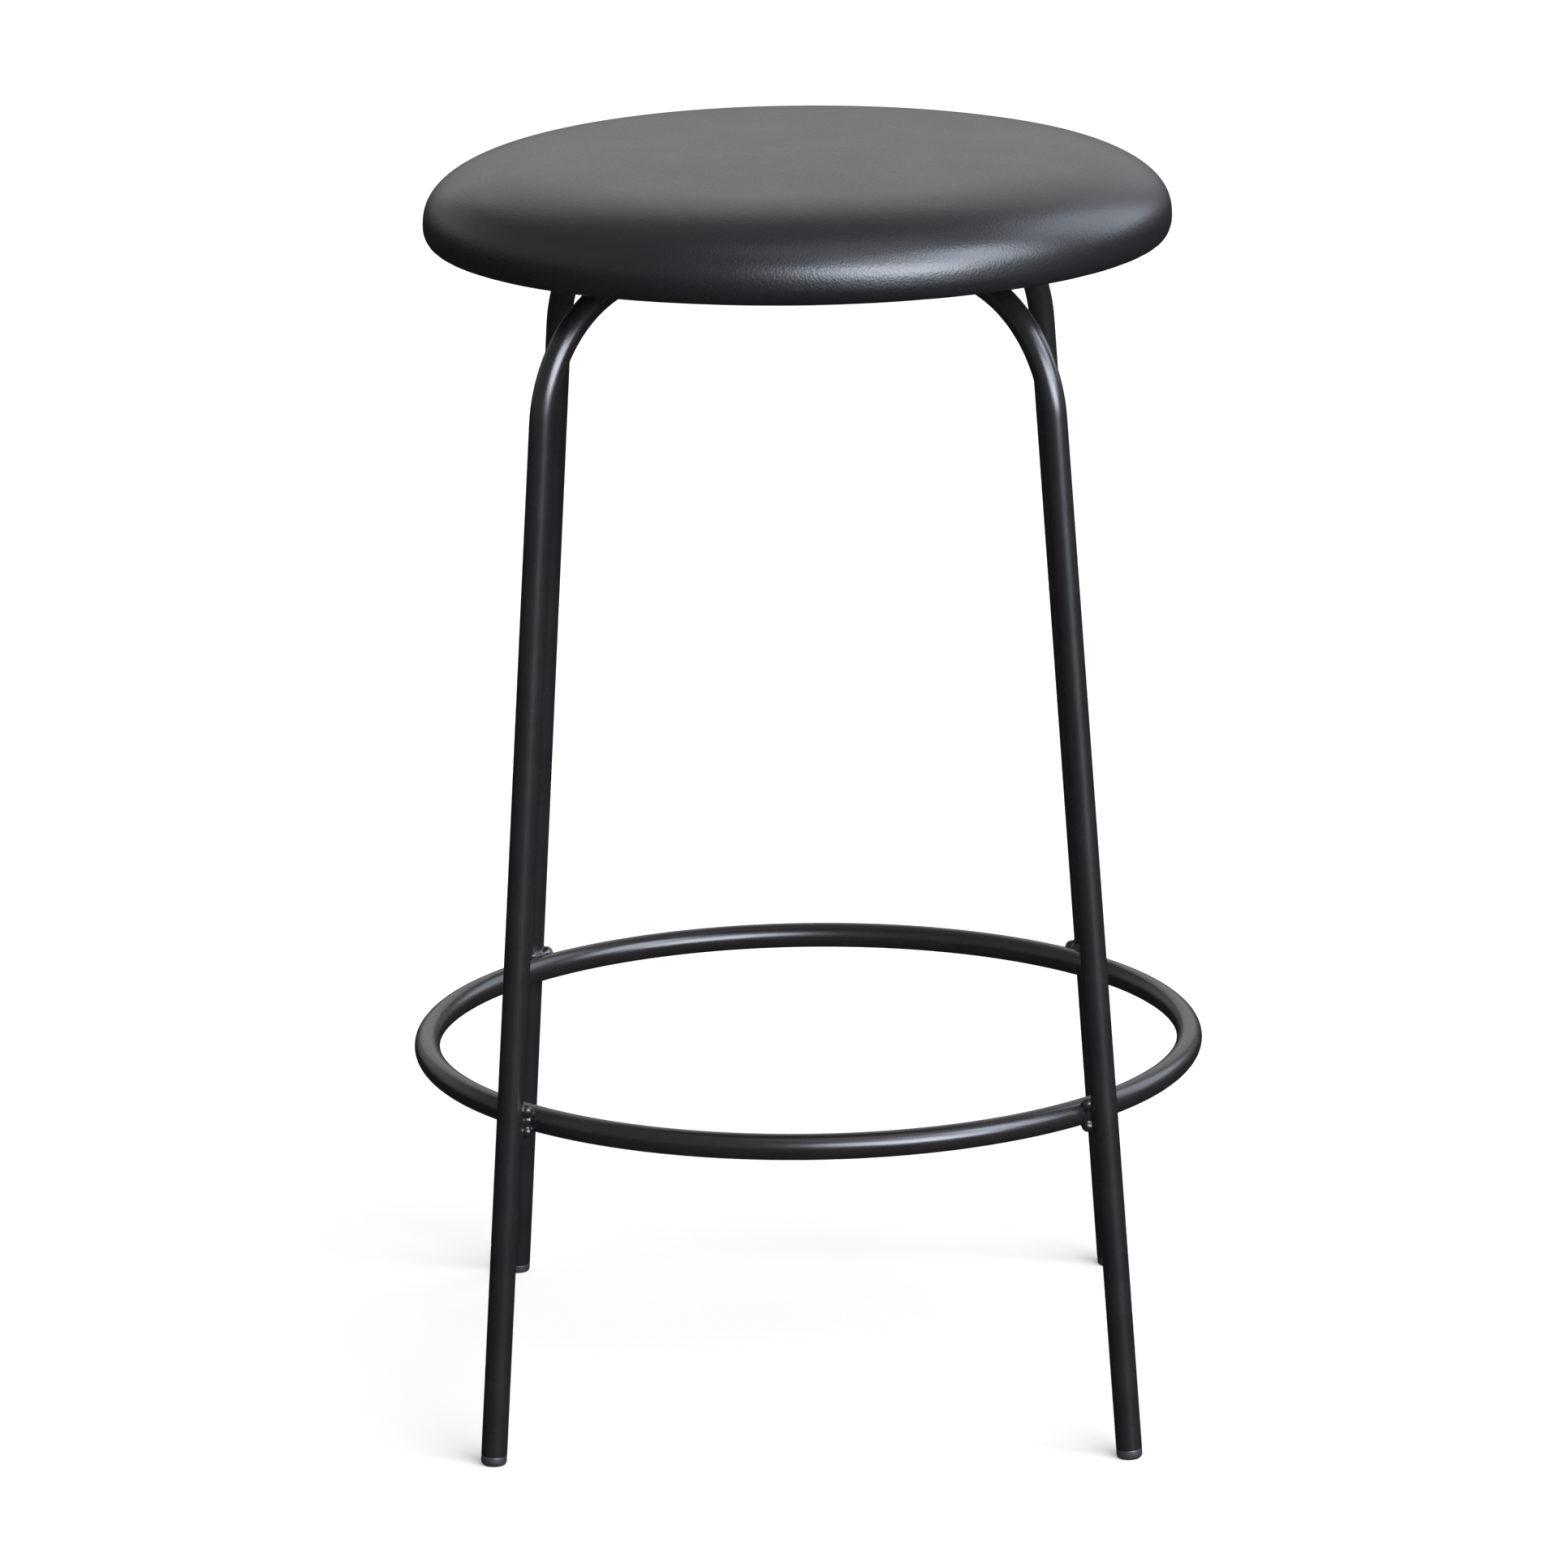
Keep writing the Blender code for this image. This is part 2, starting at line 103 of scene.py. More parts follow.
# Dust cover and staples
CLOTH_THICK = 0.3 * MM
CLOTH_STEP_R = 0.142  # the cloth steps down over the hem here
CLOTH_STEP = 6 * MM
SCREW_OUT, SCREW_ASIDE, SCREW_HOLE_R = 0.078, 0.018, 3.6 * MM
STAPLES = 40
STAPLE_IN = 6.5 * MM
STAPLE_R = 0.35 * MM
STAPLE_SIDES = 8
STAPLE_HALF = 5.0 * MM
STAPLE_LEG = (
    # from its point to its crown: height over the crown, and how far short of the full half width
    (2.6 * MM, 0),
    (0.6 * MM, 0),
    (0.18 * MM, 0.18 * MM),
    (0, 0.6 * MM),
)

# Camera
CAMERA_PLACE = Vector((0.02997, -4.09989, 1.35987))
CAMERA_DOWN = 0.25123  # radians below level
CAMERA_LEFT = 0.00989  # turned left of straight ahead
CAMERA_ROLL = -0.01417
CAMERA_LENS = 191.4

# Studio
STUDIO_MIDDLE = Vector((0, 0, 0.55))
STUDIO_DISTANCE = 7.2
SKY_STRENGTH = 0.28
BELOW_STRENGTH = 0.02
FLOOR_HALF = 30
# The floor's glow is lowest near the stool and full further out: a painted soft shadow under the stool.
FLOOR_GLOW_IN_PAINTED_SHADOW, FLOOR_GLOW_FAR = 0.26, 0.62
FLOOR_PAINTED_SHADOW_CORE_R, FLOOR_PAINTED_SHADOW_EDGE_R = 0.20, 0.75
PANELS = {
    # name: (degrees from the front round to the right, elevation, width, height, watts, colour)
    "key_left": (13, 23, 2.2, 3.2, 330, (0.80, 0.87, 1.0)),
    "key_middle": (30, 20, 2.2, 3.2, 390, (0.80, 0.87, 1.0)),
    "key_right": (47, 21, 2.2, 3.4, 300, (0.82, 0.88, 1.0)),
    "key_side": (68, 34, 2.6, 4.6, 400, (0.76, 0.84, 1.0)),
    "key_low": (36, 9, 4.2, 1.2, 230, (0.82, 0.88, 1.0)),
    "key_high": (45, 47, 4.8, 2.0, 150, (0.78, 0.86, 1.0)),
    "right_panel": (124, 31, 4.2, 5.4, 215, (0.80, 0.87, 1.0)),
    "back_panel": (180, 24, 6.4, 4.6, 57, (0.97, 0.98, 1.0)),
    "top_panel": (40, 72, 4.8, 4.8, 78, (0.94, 0.97, 1.0)),
    "rear_left_panel": (225, 16, 4.8, 2.4, 9, (1.0, 1.0, 1.0)),
    "left_panel": (272, 26, 4.8, 3.8, 8, (1.0, 1.0, 1.0)),
}


# Mesh helpers


def put(name, mesh, material=None, smooth=True):
    obj = bpy.data.objects.new(name, mesh)
    bpy.context.scene.collection.objects.link(obj)
    if material:
        mesh.materials.append(material)
    if smooth:
        mesh.shade_smooth()
    return obj


def mesh_of(name, points, faces):
    mesh = bpy.data.meshes.new(name)
    mesh.from_pydata([tuple(p) for p in points], [], faces)
    mesh.validate()
    return mesh


def baked(obj):
    """The object's mesh with its modifiers applied."""
    graph = bpy.context.evaluated_depsgraph_get()
    mesh = bpy.data.meshes.new_from_object(obj.evaluated_get(graph))
    obj.modifiers.clear()
    old = obj.data
    obj.data = mesh
    bpy.data.meshes.remove(old)
    return obj


def grid_faces(rows, columns, around=True, loop=False):
    """Quads over rows of points. A row is closed if around, and the last one joins the first if loop."""
    faces = []
    for i in range(rows if loop else rows - 1):
        for j in range(columns if around else columns - 1):
            a, b = i * columns + j, i * columns + (j + 1) % columns
            c, d = (i + 1) % rows * columns + (j + 1) % columns, (i + 1) % rows * columns + j
            faces.append((a, b, c, d))
    return faces


def sweep(line, radii, sides, closed=False):
    """Points and faces of a round tube along a line, whose cross-section keeps its turn."""
    points = []
    count = len(line)
    across = None
    for i, centre in enumerate(line):
        before = line[i - 1] if closed or i else line[i]
        after = line[(i + 1) % count] if closed or i < count - 1 else line[i]
        ahead = (after - before).normalized()
        if across is None:
            across = ahead.orthogonal().normalized()
            if abs(ahead.z) < 0.5:
                across = Vector((0, 0, 1))
        across = (across - ahead * across.dot(ahead)).normalized()
        other = ahead.cross(across)
        radius = radii(i) if callable(radii) else radii
        for k in range(sides):
            turn = 2 * math.pi * k / sides
            points.append(centre + (across * math.cos(turn) + other * math.sin(turn)) * radius)
    return points, grid_faces(count, sides, True, closed)


def capped(points, faces, sides):
    """A swept tube with a flat face on each end."""
    faces.append(tuple(range(sides - 1, -1, -1)))
    faces.append(tuple(range(len(points) - sides, len(points))))
    return points, faces


def round_turns(steps):
    return [2 * math.pi * k / steps for k in range(steps)]


def turned(profile, turns):
    """Points and faces of a profile of (radius, height) turned about Z through a list of angles."""
    points = [Vector((r * math.cos(turn), r * math.sin(turn), z)) for r, z in profile for turn in turns]
    return points, grid_faces(len(profile), len(turns))


def welded(mesh, within=1e-6):
    bm = bmesh.new()
    bm.from_mesh(mesh)
    bmesh.ops.remove_doubles(bm, verts=bm.verts, dist=within)
    bmesh.ops.dissolve_degenerate(bm, edges=bm.edges, dist=1e-7)
    bmesh.ops.recalc_face_normals(bm, faces=bm.faces)
    bm.to_mesh(mesh)
    bm.free()
    return mesh


def joined(name, shapes):
    """One mesh of several (points, faces) shapes."""
    points, faces = [], []
    for some_points, some_faces in shapes:
        start = len(points)
        points += some_points
        faces += [tuple(v + start for v in face) for face in some_faces]
    return mesh_of(name, points, faces)


def belongs(obj, slot, *nodes):
    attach(obj, "root")
    if nodes:
        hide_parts(*nodes)


# Material helpers


class Shading:
    """A material's node tree, built from its Principled shader outwards. Places are in metres."""

    def __init__(self, name):
        self.material = bpy.data.materials.new(name)
        self.material.use_nodes = True
        self.nodes = self.material.node_tree.nodes
        self.links = self.material.node_tree.links
        self.shader = self.nodes["Principled BSDF"]
        self.place = self.nodes.new("ShaderNodeTexCoord").outputs["Object"]

    def node(self, kind, inputs=None, **settings):
        made = self.nodes.new("ShaderNode" + kind)
        for key, value in settings.items():
            setattr(made, key, value)
        for key, value in (inputs or {}).items():
            if isinstance(value, bpy.types.NodeSocket):
                self.links.new(value, made.inputs[key])
            else:
                made.inputs[key].default_value = value
        return made

    def stretched(self, scale, turn=(0, 0, 0)):
        return self.node("Mapping", {"Vector": self.place, "Scale": scale, "Rotation": turn}).outputs[0]

    def noise(self, scale, detail=3, rough=0.5, place=None):
        inputs = {"Vector": place or self.place, "Scale": scale, "Detail": detail, "Roughness": rough}
        return self.node("TexNoise", inputs).outputs["Fac"]

    def cells(self, scale, feature="F1", place=None, smooth=None):
        inputs = {"Vector": place or self.place, "Scale": scale}
        if smooth is not None:
            inputs["Smoothness"] = smooth
        return self.node("TexVoronoi", inputs, feature=feature).outputs["Distance"]

    def spread(self, value, low, high, from_low=0.3, from_high=0.7):
        inputs = {"Value": value, "From Min": from_low, "From Max": from_high, "To Min": low, "To Max": high}
        return self.node("MapRange", inputs).outputs[0]

    def maths(self, operation, a, b=0.0):
        return self.node("Math", {0: a, 1: b}, operation=operation).outputs[0]

    def ramp(self, value, *stops):
        made = self.node("ValToRGB", {"Fac": value})
        elements = made.color_ramp.elements
        while len(elements) < len(stops):
            elements.new(1)
        for element, (spot, colour) in zip(elements, stops):
            element.position = spot
            element.color = (*colour, 1)
        return made.outputs["Color"]

    def mixed(self, share, first, second):
        inputs = {"Factor": share, 6: first, 7: second}
        return self.node("Mix", inputs, data_type="RGBA").outputs[2]

    def bump(self, height, strength, distance, onto=None):
        inputs = {"Height": height, "Strength": strength, "Distance": distance}
        if onto:
            inputs["Normal"] = onto
        return self.node("Bump", inputs).outputs[0]

    def finish(self, colour, roughness, normal, **fixed):
        self.links.new(colour, self.shader.inputs["Base Color"])
        self.links.new(roughness, self.shader.inputs["Roughness"])
        self.links.new(normal, self.shader.inputs["Normal"])
        for key, value in fixed.items():
            self.shader.inputs[key.replace("_", " ")].default_value = value
        return self.material


def leather():
    """Black aniline-look leather: fine pebbles with pores between, and a slightly uneven sheen."""
    s = Shading("black_leather")
    tone = s.noise(9, 5, 0.6)
    colour = s.ramp(tone, (0.30, (0.0036, 0.0036, 0.0040)), (0.70, (0.0056, 0.0056, 0.0062)))
    pebbles = s.cells(820, "SMOOTH_F1", smooth=0.6)
    pores = s.noise(2600, 2, 0.5)
    smudges = s.noise(22, 4, 0.55)
    roughness = s.maths("ADD", s.spread(smudges, 0.315, 0.345), s.spread(pebbles, -0.02, 0.03, 0.1, 0.8))
    grain = s.bump(pebbles, 0.35, 0.00018)
    fine = s.bump(pores, 0.10, 0.00006, grain)
    drag = s.noise(60, 4, 0.6)
    normal = s.bump(drag, 0.05, 0.0006, fine)
    return s.finish(colour, roughness, normal, Specular_IOR_Level=0.5)


def powder_coat():
    """Black powder coat over steel: satin, with a fine orange peel."""
    s = Shading("black_powder_coat")
    tone = s.noise(35, 4, 0.6)
    colour = s.ramp(tone, (0.3, (0.0056, 0.0048, 0.0047)), (0.7, (0.0080, 0.0069, 0.0068)))
    roughness = s.spread(s.noise(90, 4, 0.6), 0.25, 0.28)
    peel = s.bump(s.noise(900, 3, 0.5), 0.05, 0.0001)
    normal = s.bump(s.noise(3200, 1, 0.5), 0.05, 0.00004, peel)
    return s.finish(colour, roughness, normal)


def zinc_steel():
    """Bright zinc plate, slightly clouded."""
    s = Shading("zinc_plate")
    tone = s.noise(240, 5, 0.6)
    colour = s.ramp(tone, (0.3, (0.46, 0.46, 0.45)), (0.7, (0.64, 0.63, 0.60)))
    roughness = s.spread(s.noise(700, 4, 0.6), 0.26, 0.44)
    normal = s.bump(s.noise(1900, 2, 0.5), 0.08, 0.00006)
    return s.finish(colour, roughness, normal, Metallic=1.0)


def plywood():
    """Birch plywood: a pale face with long grain, and dark glue lines round the edge."""
    s = Shading("birch_plywood")
    grain = s.noise(60, 6, 0.6, s.stretched((1, 12, 1)))
    face = s.ramp(grain, (0.3, (0.50, 0.33, 0.18)), (0.55, (0.62, 0.44, 0.26)), (0.8, (0.70, 0.53, 0.34)))
    height = s.node("SeparateXYZ", {0: s.place}).outputs[2]
    ply = s.maths("PINGPONG", s.maths("SUBTRACT", height, base_low.z), 0.0012)
    line = s.spread(ply, 1, 0, 0.0, 0.00025)
    colour = s.mixed(s.maths("MULTIPLY", line, 0.6), face, (0.16, 0.09, 0.05, 1))
    roughness = s.spread(grain, 0.55, 0.75)
    normal = s.bump(grain, 0.2, 0.0003)
    return s.finish(colour, roughness, normal)


def foam():
    """Open-cell upholstery foam, with painted shade in its sunk pores."""
    s = Shading("seat_foam")
    pores = s.cells(1100)
    # The pores are darker as well as sunk: painted shade in the pits.
    colour = s.ramp(pores, (0.1, (0.55, 0.49, 0.36)), (0.6, (0.80, 0.74, 0.58)))
    roughness = s.spread(pores, 0.85, 1.0, 0, 1)
    normal = s.bump(pores, 0.5, 0.0004)
    return s.finish(colour, roughness, normal)


def dust_cloth():
    """Black non-woven cloth: felted fibres with a fine grid of bonded points."""
    s = Shading("non_woven_cloth")
    fibres = s.noise(500, 5, 0.7, s.stretched((1, 0.25, 1), (0, 0, 0.5)))
    others = s.noise(500, 5, 0.7, s.stretched((0.25, 1, 1), (0, 0, -0.3)))
    felt = s.maths("MAXIMUM", fibres, others)
    bonds = s.cells(620, place=s.stretched((1, 1, 0)))
    colour = s.ramp(felt, (0.35, (0.010, 0.010, 0.011)), (0.75, (0.042, 0.042, 0.044)))
    roughness = s.spread(felt, 0.8, 0.95)
    bonded = s.bump(bonds, 0.35, 0.0003)
    normal = s.bump(felt, 0.4, 0.0003, bonded)
    return s.finish(colour, roughness, normal)


def glide_plastic():
    """Black moulded plastic with a spark-eroded skin."""
    s = Shading("glide_plastic")
    skin = s.noise(1500, 3, 0.6)
    colour = s.ramp(s.noise(80, 3, 0.5), (0.3, (0.012, 0.012, 0.013)), (0.7, (0.020, 0.020, 0.021)))
    roughness = s.spread(skin, 0.40, 0.52)
    normal = s.bump(skin, 0.15, 0.0001)
    return s.finish(colour, roughness, normal)


def pale_floor():
    """A white studio floor that glows more away from the stool, so that its dimmer glow near the stool is a
    painted soft shadow, and is clear from below.
    """
    s = Shading("studio_floor")
    colour = s.ramp(s.noise(0.6, 2, 0.5), (0.2, (0.50, 0.46, 0.41)), (0.8, (0.51, 0.47, 0.42)))
    roughness = s.spread(s.noise(4, 2, 0.5), 0.85, 0.9)
    normal = s.bump(s.noise(300, 2, 0.5), 0.02, 0.0002)
    s.finish(colour, roughness, normal, Specular_IOR_Level=0.1, Emission_Color=(1, 1, 1, 1))
    # Less glow near the stool: a painted soft shadow under it.
    away = s.node("VectorMath", {0: s.place}, operation="LENGTH").outputs["Value"]
    glow_with_painted_shadow = s.spread(away, FLOOR_GLOW_IN_PAINTED_SHADOW, FLOOR_GLOW_FAR, FLOOR_PAINTED_SHADOW_CORE_R, FLOOR_PAINTED_SHADOW_EDGE_R)
    s.links.new(glow_with_painted_shadow, s.shader.inputs["Emission Strength"])
    back = s.node("NewGeometry").outputs["Backfacing"]
    clear = s.node("BsdfTransparent").outputs[0]
    either = s.node("MixShader", {0: back, 1: s.shader.outputs[0], 2: clear}).outputs[0]
    s.links.new(either, s.nodes["Material Output"].inputs["Surface"])
    return s.material


# Places


def along(angle, out, z, side=0.0):
    """A point in a leg's upright plane, or beside it."""
    outward = Vector((math.cos(angle), math.sin(angle), 0))
    sideways = Vector((-math.sin(angle), math.cos(angle), 0))
    return outward * out + sideways * side + Vector((0, 0, z))


def leg_out(z):
    """How far a leg's axis is from the middle at a height, on its straight part."""
    return FOOT_OUT - LEG_SLOPE * z


def leg_line(angle, bend_steps=28, straight_steps=24):
    """The axis of a leg from its foot to the inner end of its bend."""
    lean = math.atan(LEG_SLOPE)
    start_z = RUN_Z - BEND_R * (1 - math.sin(lean))
    centre_out = leg_out(start_z) - BEND_R * math.cos(lean)
    foot_z = TUBE_END_UP * math.cos(lean)
    line = []
    for step in range(straight_steps):
        z = foot_z + (start_z - foot_z) * step / straight_steps
        line.append(along(angle, leg_out(z), z))
    for step in range(bend_steps + 1):
        turn = lean + (math.pi / 2 - lean) * step / bend_steps
        out = centre_out + BEND_R * math.cos(turn)
        line.append(along(angle, out, RUN_Z - BEND_R + BEND_R * math.sin(turn)))
    return line


def arc_line(radius, z, first, last, steps):
    turns = [first + (last - first) * i / steps for i in range(steps + 1)]
    return [Vector((radius * math.cos(t), radius * math.sin(t), z)) for t in turns]


# Frame pieces

TUBE_SIDES = 32


def open_tube(line):
    """A tube's outer skin, its end rims and a short way down its bore at each end."""
    points, faces = sweep(line, TUBE_R, TUBE_SIDES)
    inner = sweep(line, TUBE_R - TUBE_WALL, TUBE_SIDES)[0]
    depth = 4
    count = len(points)
    rows = [inner[i * TUBE_SIDES : (i + 1) * TUBE_SIDES] for i in range(len(line))]
    for end, step in ((0, 1), (len(line) - 1, -1)):
        ring = [end * TUBE_SIDES + k for k in range(TUBE_SIDES)]
        for level in range(depth):
            fresh = list(range(count, count + TUBE_SIDES))
            points += rows[end + step * level]
            count += TUBE_SIDES
            for k in range(TUBE_SIDES):
                after = (k + 1) % TUBE_SIDES
                faces.append((ring[k], ring[after], fresh[after], fresh[k]))
            ring = fresh
        faces.append(tuple(ring))
    return points, faces


def soften_ends(obj):
    obj.data.set_sharp_from_angle(angle=math.radians(50))


def make_leg_loop(coat):
    first, second = leg_line(CORNERS["front_left"]), leg_line(CORNERS["rear_right"])
    points, faces = open_tube(first + second[::-1])
    loop = put("leg_loop_tube", welded(mesh_of("leg_loop_tube", points, faces)), coat)
    soften_ends(loop)
    belongs(loop, "powder_coat", "leg_loop")


def saddle_end(line, angle):
    """An L-bent leg's tube, its inner end cut back to the surface of the loop as a saddle."""
    points, faces = open_tube(line)
    inward = -along(angle, 1, 0)
    for i, p in enumerate(points):
        deep = p.dot(inward)
        if deep > -0.012:
            off_axis = min(abs(p.z - RUN_Z), TUBE_R)
            stop = -math.sqrt(max(0.0, TUBE_R**2 - off_axis**2)) - 0.2 * MM
            points[i] = p + inward * (min(deep, stop) - deep)
    return points, faces


def make_angled_leg(corner, coat):
    angle = CORNERS[corner]
    line = leg_line(angle)
    inner_out = line[-1].to_2d().length
    line += [along(angle, inner_out * (1 - s), RUN_Z) for s in (0.3, 0.6, 0.85, 0.92, 0.97, 1.0)]
    points, faces = saddle_end(line, angle)
    name = f"leg_{corner}_tube"
    leg = put(name, welded(mesh_of(name, points, faces)), coat)
    soften_ends(leg)
    belongs(leg, "powder_coat", f"leg_{corner}")


def make_ring(coat):
    steps = 288
    line = arc_line(RING_R, RING_Z, 0, 2 * math.pi * (1 - 1 / steps), steps - 1)
    points, faces = sweep(line, TUBE_R, TUBE_SIDES, closed=True)
    ring = put("footrest_ring_tube", welded(mesh_of("footrest_ring_tube", points, faces)), coat)
    belongs(ring, "powder_coat", "footrest_ring")


def blended_weld(name, shapes, voxel, passes, coat, ripple=None):
    """Tubes' stubs and beads run together, so that the weld leaves each tube in a soft fillet."""
    obj = put(name, joined(name, shapes), coat)
    remesh = obj.modifiers.new("run_together", "REMESH")
    remesh.mode = "VOXEL"
    remesh.voxel_size = voxel
    baked(obj)
    smooth = obj.modifiers.new("fillet", "SMOOTH")
    smooth.factor = 0.5
    smooth.iterations = passes
    baked(obj)
    if ripple:
        shifts = [v.normal * ripple(v.co) for v in obj.data.vertices]
        for v, shift in zip(obj.data.vertices, shifts):
            v.co += shift
    obj.data.materials.clear()
    obj.data.materials.append(coat)
    obj.data.shade_smooth()
    return obj


def lump(place, half, across=24, down=16):
    """An ellipsoid of weld metal."""
    points = []
    for i in range(down + 1):
        tilt = math.pi * i / down
        for k in range(across):
            turn = 2 * math.pi * k / across
            spot = (math.sin(tilt) * math.cos(turn), math.sin(tilt) * math.sin(turn), math.cos(tilt))
            points.append(place @ Vector([a * b for a, b in zip(spot, half)]))
    return points, [face[::-1] for face in grid_faces(down + 1, across)]


def leg_place(angle, out, z):
    return Matrix.Translation(along(angle, out, z)) @ Matrix.Rotation(angle, 4, "Z")


def stub(line):
    """A closed length of tube, a little thinner than the real one, so that it stays inside it."""
    return capped(*sweep(line, TUBE_R - 0.30 * MM, TUBE_SIDES), TUBE_SIDES)


def make_footrest_weld(corner, coat):
    angle = CORNERS[corner]
    reach = 0.014
    leg = [along(angle, leg_out(RING_Z + t), RING_Z + t) for t in (-reach, 0, reach)]
    turn = reach / RING_R
    ring = arc_line(RING_R, RING_Z, angle - turn, angle + turn, 8)
    touch = (RING_R + leg_out(RING_Z)) / 2
    seed = sum(ord(letter) for letter in corner)
    chance = random.Random(seed)
    beads = [lump(leg_place(angle, touch, RING_Z), (3.6 * MM, 7.4 * MM, 7.6 * MM))]
    for side in (-1, 1):
        for up in (-1, 1):
            place = leg_place(angle, touch, RING_Z) @ Matrix.Translation(
                (0, side * 5.2 * MM, up * 5.4 * MM)
            )
            size = chance.uniform(3.0, 3.6) * MM
            beads.append(lump(place, (size, size, size)))

    def ripple(spot):
        away = spot - along(angle, touch, RING_Z)
        round_it = math.atan2(away.z, away.dot(along(angle, 0, 0, 1)))
        near = max(0.0, 1 - abs(away.length - 8.5 * MM) / (3.5 * MM))
        return 0.10 * MM * near * math.sin(11 * round_it + seed)

    name = f"footrest_weld_{corner}_bead"
    weld = blended_weld(name, [stub(leg), stub(ring), *beads], 0.55 * MM, 6, coat, ripple)
    belongs(weld, "powder_coat", f"footrest_weld_{corner}")


def make_middle_weld(corner, coat):
    angle = CORNERS[corner]
    reach = 0.014
    loop = [along(angle, 0, RUN_Z, t) for t in (-reach, 0, reach)]
    leg = [along(angle, out, RUN_Z) for out in (0.001, 0.009, 0.018)]
    beads = []
    for step in range(13):
        turn = math.pi * (0.5 + step / 12)
        for side in (-1, 1):
            spot = along(
                angle,
                TUBE_R * abs(math.cos(turn)) + 0.3 * MM,
                RUN_Z + (TUBE_R + 0.2 * MM) * min(0.75, math.sin(turn)),
                side * (TUBE_R + 0.2 * MM) * abs(math.cos(turn)),
            )
            beads.append(lump(Matrix.Translation(spot), (1.7 * MM,) * 3, 12, 8))
    name = f"middle_weld_{corner}_bead"
    weld = blended_weld(name, [stub(loop), stub(leg), *beads], 0.6 * MM, 4, coat)
    for v in weld.data.vertices:
        v.co.z = min(v.co.z, RUN_Z + TUBE_R - 0.05 * MM)
    belongs(weld, "powder_coat", f"middle_weld_{corner}")


def make_tab_weld(corner, coat):
    """A bead of overlapping blobs under the tab, in the corner that it makes with the tube."""
    low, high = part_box(f"tab_weld_{corner}")
    angle = CORNERS[corner]
    middle = (low + high) / 2
    out = middle.dot(along(angle, 1, 0))
    side = middle.dot(along(angle, 0, 0, 1))
    beads = []
    count = 9
    for step in range(count):
        spot = along(angle, out + (step - (count - 1) / 2) * 2.4 * MM, high.z - 1.6 * MM, side - 0.4 * MM)
        beads.append(lump(Matrix.Translation(spot), (2.1 * MM, 2.6 * MM, 2.2 * MM), 14, 10))
    weld = blended_weld(f"tab_weld_{corner}_bead", beads, 0.5 * MM, 2, coat)
    for v in weld.data.vertices:
        v.co.z = min(v.co.z, high.z)
    belongs(weld, "powder_coat", f"tab_weld_{corner}")


def make_glide(corner, plastic):
    """The plug's round head with a fine moulding line, cut flat on the floor, and its ribbed stem."""
    head_top = TUBE_END_UP - 0.3 * MM
    bore_r = TUBE_R - TUBE_WALL
    stem_top = 20 * MM
    profile = [(0, stem_top), (bore_r - 1.1 * MM, stem_top)]
    for rib in range(4):
        top = stem_top - 2 * MM - rib * 3.2 * MM
        profile += [
            (bore_r - 0.35 * MM, top - 0.9 * MM),
            (bore_r - 1.0 * MM, top - 1.3 * MM),
            (bore_r - 1.0 * MM, top - 2.8 * MM),
        ]
    profile += [
        (bore_r - 1.0 * MM, head_top),
        (TUBE_R - 0.45 * MM, head_top),
        (TUBE_R - 0.18 * MM, head_top - 0.10 * MM),
        (TUBE_R - 0.08 * MM, head_top - 0.35 * MM),
        (TUBE_R - 0.04 * MM, head_top - 0.8 * MM),
        (TUBE_R, 2.6 * MM),
    ]
    round_in, round_from, below = 2.4 * MM, 2.4 * MM, 0.6 * MM
    for step in range(1, 11):
        turn = math.pi / 2 * step / 10
        r = TUBE_R - round_in * (1 - math.cos(turn))
        profile.append((r, round_from - (round_from + below) * math.sin(turn)))
    profile += [(2.0 * MM, -below), (0, -below)]
    points, faces = turned(profile, round_turns(40))
    angle = CORNERS[corner]
    tilt = leg_place(angle, FOOT_OUT, 0) @ Matrix.Rotation(-math.atan(LEG_SLOPE), 4, "Y")
    points = [tilt @ p for p in points]
    for p in points:
        p.z = max(p.z, 0.0)
    name = f"glide_{corner}_plug"
    plug = put(name, welded(mesh_of(name, points, [f[::-1] for f in faces])), plastic)
    plug.data.set_sharp_from_angle(angle=math.radians(40))
    belongs(plug, "glide_plastic", f"glide_{corner}")


# Seat


def shoulder_height(r):
    """The cover's height over its top: a low crown with a rounded shoulder."""
    inner = SEAT_R - SHOULDER_IN
    share = max(0.0, (r - inner) / SHOULDER_IN)
    round_off = max(0.0, 1 - share**SHOULDER_POWER) ** (1 / SHOULDER_POWER)
    crown = seat_high.z - SEAT_WIDEST_Z - SHOULDER_UP
    return SEAT_WIDEST_Z + SHOULDER_UP * round_off + crown * (1 - (r / SEAT_R) ** 2)


def cover_profile():
    """The cover from the middle of the top, over the edge and in along its hem, as (radius, height)."""
    top_steps, top_step = 24, 5.5 * MM
    profile = [(i * top_step, shoulder_height(i * top_step)) for i in range(top_steps)]
    shoulder_steps = 30
    for step in range(1, shoulder_steps + 1):
        turn = math.pi / 2 * step / shoulder_steps
        share = math.sin(turn) ** (2 / SHOULDER_POWER)
        r = SEAT_R - SHOULDER_IN * (1 - share)
        if r > profile[-1][0]:
            profile.append((r, shoulder_height(r)))
    low_steps = 8
    down = SEAT_WIDEST_Z - seat_low.z - 0.1 * MM
    for step in range(1, low_steps + 1):
        turn = math.pi / 2 * step / low_steps
        profile.append((SEAT_R - LOW_IN * (1 - math.cos(turn)), SEAT_WIDEST_Z - down * math.sin(turn)))
    start_r, start_z = profile[-1]
    hem_steps = 16
    for step in range(1, hem_steps + 1):
        share = step / hem_steps
        r = start_r + (HEM_R - start_r) * share
        blend = min(1.0, share * 4)
        z = start_z + (HEM_Z - start_z) * blend * blend * (3 - 2 * blend)
        profile.append((r, z))
    return profile


